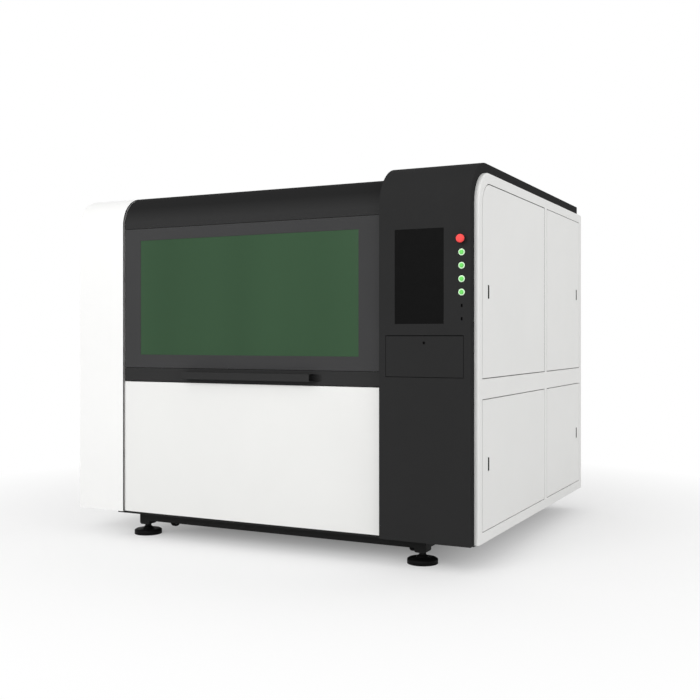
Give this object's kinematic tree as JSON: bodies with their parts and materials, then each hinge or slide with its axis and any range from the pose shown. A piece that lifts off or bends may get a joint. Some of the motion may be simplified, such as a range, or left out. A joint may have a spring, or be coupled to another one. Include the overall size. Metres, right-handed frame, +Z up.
{
  "type": "fiber laser cutting machine",
  "caption": "Enclosed sheet laser cutter with a lifting windowed front door, a control column, side doors and a moving gantry over a slatted table.",
  "frame": {"origin": "on the floor under the middle of the whole machine's box", "axes": "+Z up, -Y towards the operator at the front, +X to the operator's right"},
  "size_m": [2.204, 1.98, 1.788],
  "materials": {
    "frame_black": "satin powder coat",
    "foot_black": "matt",
    "pan_grey": "satin powder coat",
    "case_white": "fine satin powder coat",
    "roof_charcoal": "fine satin powder coat",
    "column_charcoal": "fine satin powder coat",
    "hood_charcoal": "fine satin powder coat",
    "window_charcoal": "fine satin powder coat",
    "band_charcoal": "fine satin powder coat",
    "handle_black": "satin powder coat",
    "laser_glass": "dark green laser filter",
    "inner_grey": "satin powder coat",
    "zinc_steel": "zinc plated",
    "screen_black": "black screen glass and case",
    "fitting_green": "pale green lens rings",
    "button_green": "green lens",
    "stop_red": "glossy",
    "keys_grey": "matt silicone",
    "lock_steel": "polished",
    "latch_black": "fine grain",
    "strut_black": "gloss black",
    "rod_chrome": "hard chromed",
    "caster_zinc": "zinc plated",
    "wheel_black": "matt nylon",
    "bed_grey": "satin paint",
    "slat_steel": "bare mild steel",
    "guide_steel": "ground",
    "beam_aluminium": "anodised",
    "carriage_black": "black anodised",
    "head_white": "anodised and white",
    "source_white": "satin powder coat",
    "chiller_white": "satin powder coat",
    "electrical_grey": "light grey housings on a zinc plate",
    "fan_grey": "satin powder coat",
    "rotor_aluminium": "cast"
  },
  "bodies": {
    "cabinet": {"base_frame": "frame_black", "base_pan": "pan_grey", "levelling_feet": "foot_black", "front_lower_panel": "case_white", "left_end_cover": "case_white", "left_side_panel": "case_white", "roof_panel": "roof_charcoal", "rear_panel": "case_white", "column_cover": "column_charcoal", "right_side_frame": "case_white", "partition": "inner_grey", "touch_monitor": "screen_black", "panel_fittings": "fitting_green", "keyboard_box": "inner_grey", "machine_bed": "bed_grey", "y_guides": "guide_steel", "slat_frame": "bed_grey", "slats": "slat_steel", "laser_source": "source_white", "chiller": "chiller_white", "electrical_panel": "electrical_grey", "fan_housing": "fan_grey", "hood_hinges": "zinc_steel", "side_door_pivots": "zinc_steel"},
    "front_door": {"hood_shell": "hood_charcoal", "window_panel": "window_charcoal", "window_glass": "laser_glass", "door_band": "band_charcoal", "door_handle": "handle_black"},
    "gantry": {"gantry_beam": "beam_aluminium"},
    "carriage": {"x_carriage": "carriage_black"},
    "head": {"cutting_head": "head_white"},
    "drawer": {"scrap_drawer": "case_white"},
    "fan": {"fan_rotor": "rotor_aluminium"},
    "flap": {"keyboard_flap": "column_charcoal", "keyboard": "keys_grey"},
    "lock": {"flap_lock": "lock_steel"},
    "stop_button": {"emergency_stop": "stop_red"},
    "strut_left": {"strut_cylinder_left": "strut_black"},
    "rod_left": {"strut_rod_left": "rod_chrome"},
    "strut_right": {"strut_cylinder_right": "strut_black"},
    "rod_right": {"strut_rod_right": "rod_chrome"},
    "door_upper_front": {"door_upper_front": "case_white"},
    "latch_upper_front": {"latch_upper_front": "latch_black"},
    "door_upper_rear": {"door_upper_rear": "case_white"},
    "latch_upper_rear": {"latch_upper_rear": "latch_black"},
    "door_lower_front": {"door_lower_front": "case_white"},
    "latch_lower_front": {"latch_lower_front": "latch_black"},
    "door_lower_rear": {"door_lower_rear": "case_white"},
    "latch_lower_rear": {"latch_lower_rear": "latch_black"},
    "button_1": {"push_button_1": "button_green"},
    "button_2": {"push_button_2": "button_green"},
    "button_3": {"push_button_3": "button_green"},
    "button_4": {"push_button_4": "button_green"},
    "caster_front_left": {"caster_fork_front_left": "caster_zinc"},
    "wheel_front_left": {"caster_wheel_front_left": "wheel_black"},
    "wheel_rear_left": {"caster_wheel_rear_left": "wheel_black"},
    "caster_front_right": {"caster_fork_front_right": "caster_zinc"},
    "wheel_front_right": {"caster_wheel_front_right": "wheel_black"},
    "wheel_rear_right": {"caster_wheel_rear_right": "wheel_black"}
  },
  "joints": [
    {"name": "door_lift", "type": "hinge", "parent": "cabinet", "child": "front_door", "pos_m": [-0.0815, -0.31, 1.749], "axis": [-1, 0, 0], "range_deg": [0, 50]},
    {"name": "strut_swing_left", "type": "hinge", "parent": "cabinet", "child": "strut_left", "pos_m": [-0.789, -0.2813, 1.5824], "axis": [-1, 0, 0], "range_deg": [0, 26]},
    {"name": "strut_stroke_left", "type": "slide", "parent": "strut_left", "child": "rod_left", "axis": [0, -0.892, 0.452], "range_m": [0, 0.102]},
    {"name": "strut_swing_right", "type": "hinge", "parent": "cabinet", "child": "strut_right", "pos_m": [0.626, -0.2813, 1.5824], "axis": [-1, 0, 0], "range_deg": [0, 26]},
    {"name": "strut_stroke_right", "type": "slide", "parent": "strut_right", "child": "rod_right", "axis": [0, -0.892, 0.452], "range_m": [0, 0.102]},
    {"name": "swing_upper_front", "type": "hinge", "parent": "cabinet", "child": "door_upper_front", "pos_m": [1.094, 0.114, 1.264], "axis": [0, 0, 1], "range_deg": [0, 90]},
    {"name": "turn_latch_upper_front", "type": "hinge", "parent": "door_upper_front", "child": "latch_upper_front", "pos_m": [1.095, -0.786, 1.237], "axis": [0, -1, 0], "range_deg": [0, 35], "stiffness_Nm_per_rad": 0.05, "springref_deg": -20.05},
    {"name": "swing_upper_rear", "type": "hinge", "parent": "cabinet", "child": "door_upper_rear", "pos_m": [1.094, 0.181, 1.264], "axis": [0, 0, -1], "range_deg": [0, 90]},
    {"name": "turn_latch_upper_rear", "type": "hinge", "parent": "door_upper_rear", "child": "latch_upper_rear", "pos_m": [1.095, 0.813, 1.284], "axis": [0, -1, 0], "range_deg": [0, 35], "stiffness_Nm_per_rad": 0.05, "springref_deg": -20.05},
    {"name": "swing_lower_front", "type": "hinge", "parent": "cabinet", "child": "door_lower_front", "pos_m": [1.094, 0.114, 0.4605], "axis": [0, 0, 1], "range_deg": [0, 90]},
    {"name": "turn_latch_lower_front", "type": "hinge", "parent": "door_lower_front", "child": "latch_lower_front", "pos_m": [1.095, -0.786, 0.4805], "axis": [0, -1, 0], "range_deg": [0, 35], "stiffness_Nm_per_rad": 0.05, "springref_deg": -20.05},
    {"name": "swing_lower_rear", "type": "hinge", "parent": "cabinet", "child": "door_lower_rear", "pos_m": [1.094, 0.181, 0.4605], "axis": [0, 0, -1], "range_deg": [0, 90]},
    {"name": "turn_latch_lower_rear", "type": "hinge", "parent": "door_lower_rear", "child": "latch_lower_rear", "pos_m": [1.095, 0.813, 0.4805], "axis": [0, -1, 0], "range_deg": [0, 35], "stiffness_Nm_per_rad": 0.05, "springref_deg": -20.05},
    {"name": "flap_drop", "type": "hinge", "parent": "cabinet", "child": "flap", "pos_m": [0.866, -0.955, 0.849], "axis": [1, 0, 0], "range_deg": [0, 90]},
    {"name": "lock_turn", "type": "hinge", "parent": "flap", "child": "lock", "pos_m": [0.866, -0.96, 0.993], "axis": [0, 1, 0], "range_deg": [0, 90]},
    {"name": "stop_press", "type": "slide", "parent": "cabinet", "child": "stop_button", "axis": [0, 1, 0], "range_m": [0, 0.006]},
    {"name": "button_press_1", "type": "slide", "parent": "cabinet", "child": "button_1", "axis": [0, 1, 0], "range_m": [0, 0.003], "stiffness_N_per_m": 400, "springref_m": -0.004},
    {"name": "button_press_2", "type": "slide", "parent": "cabinet", "child": "button_2", "axis": [0, 1, 0], "range_m": [0, 0.003], "stiffness_N_per_m": 400, "springref_m": -0.004},
    {"name": "button_press_3", "type": "slide", "parent": "cabinet", "child": "button_3", "axis": [0, 1, 0], "range_m": [0, 0.003], "stiffness_N_per_m": 400, "springref_m": -0.004},
    {"name": "button_press_4", "type": "slide", "parent": "cabinet", "child": "button_4", "axis": [0, 1, 0], "range_m": [0, 0.003], "stiffness_N_per_m": 400, "springref_m": -0.004},
    {"name": "gantry_travel", "type": "slide", "parent": "cabinet", "child": "gantry", "axis": [0, 1, 0], "range_m": [-1.01, 0.09]},
    {"name": "carriage_travel", "type": "slide", "parent": "gantry", "child": "carriage", "axis": [1, 0, 0], "range_m": [-0.62, 0.62]},
    {"name": "head_lift", "type": "slide", "parent": "carriage", "child": "head", "axis": [0, 0, 1], "range_m": [-0.06, 0.02]},
    {"name": "drawer_pull", "type": "slide", "parent": "cabinet", "child": "drawer", "axis": [0, 1, 0], "range_m": [0, 1.2]},
    {"name": "fan_spin", "type": "hinge", "parent": "cabinet", "child": "fan", "pos_m": [-0.2, 0.843, 1.18], "axis": [0, 1, 0], "continuous": true},
    {"name": "caster_swivel_front_left", "type": "hinge", "parent": "cabinet", "child": "caster_front_left", "pos_m": [-0.646, -0.715, 0.109], "axis": [0, 0, 1], "continuous": true},
    {"name": "wheel_roll_front_left", "type": "hinge", "parent": "caster_front_left", "child": "wheel_front_left", "pos_m": [-0.646, -0.697, 0.0565], "axis": [1, 0, 0], "continuous": true},
    {"name": "wheel_roll_rear_left", "type": "hinge", "parent": "cabinet", "child": "wheel_rear_left", "pos_m": [-0.646, 0.703, 0.0565], "axis": [1, 0, 0], "continuous": true},
    {"name": "caster_swivel_front_right", "type": "hinge", "parent": "cabinet", "child": "caster_front_right", "pos_m": [0.709, -0.715, 0.109], "axis": [0, 0, 1], "continuous": true},
    {"name": "wheel_roll_front_right", "type": "hinge", "parent": "caster_front_right", "child": "wheel_front_right", "pos_m": [0.709, -0.697, 0.0565], "axis": [1, 0, 0], "continuous": true},
    {"name": "wheel_roll_rear_right", "type": "hinge", "parent": "cabinet", "child": "wheel_rear_right", "pos_m": [0.709, 0.703, 0.0565], "axis": [1, 0, 0], "continuous": true}
  ],
  "couplings": [
    {"joint": "strut_swing_left", "follows": "door_lift", "ratio": 0.4972},
    {"joint": "strut_stroke_left", "follows": "door_lift", "m_per_rad": 0.11459},
    {"joint": "strut_swing_right", "follows": "door_lift", "ratio": 0.4972},
    {"joint": "strut_stroke_right", "follows": "door_lift", "m_per_rad": 0.11459}
  ]
}
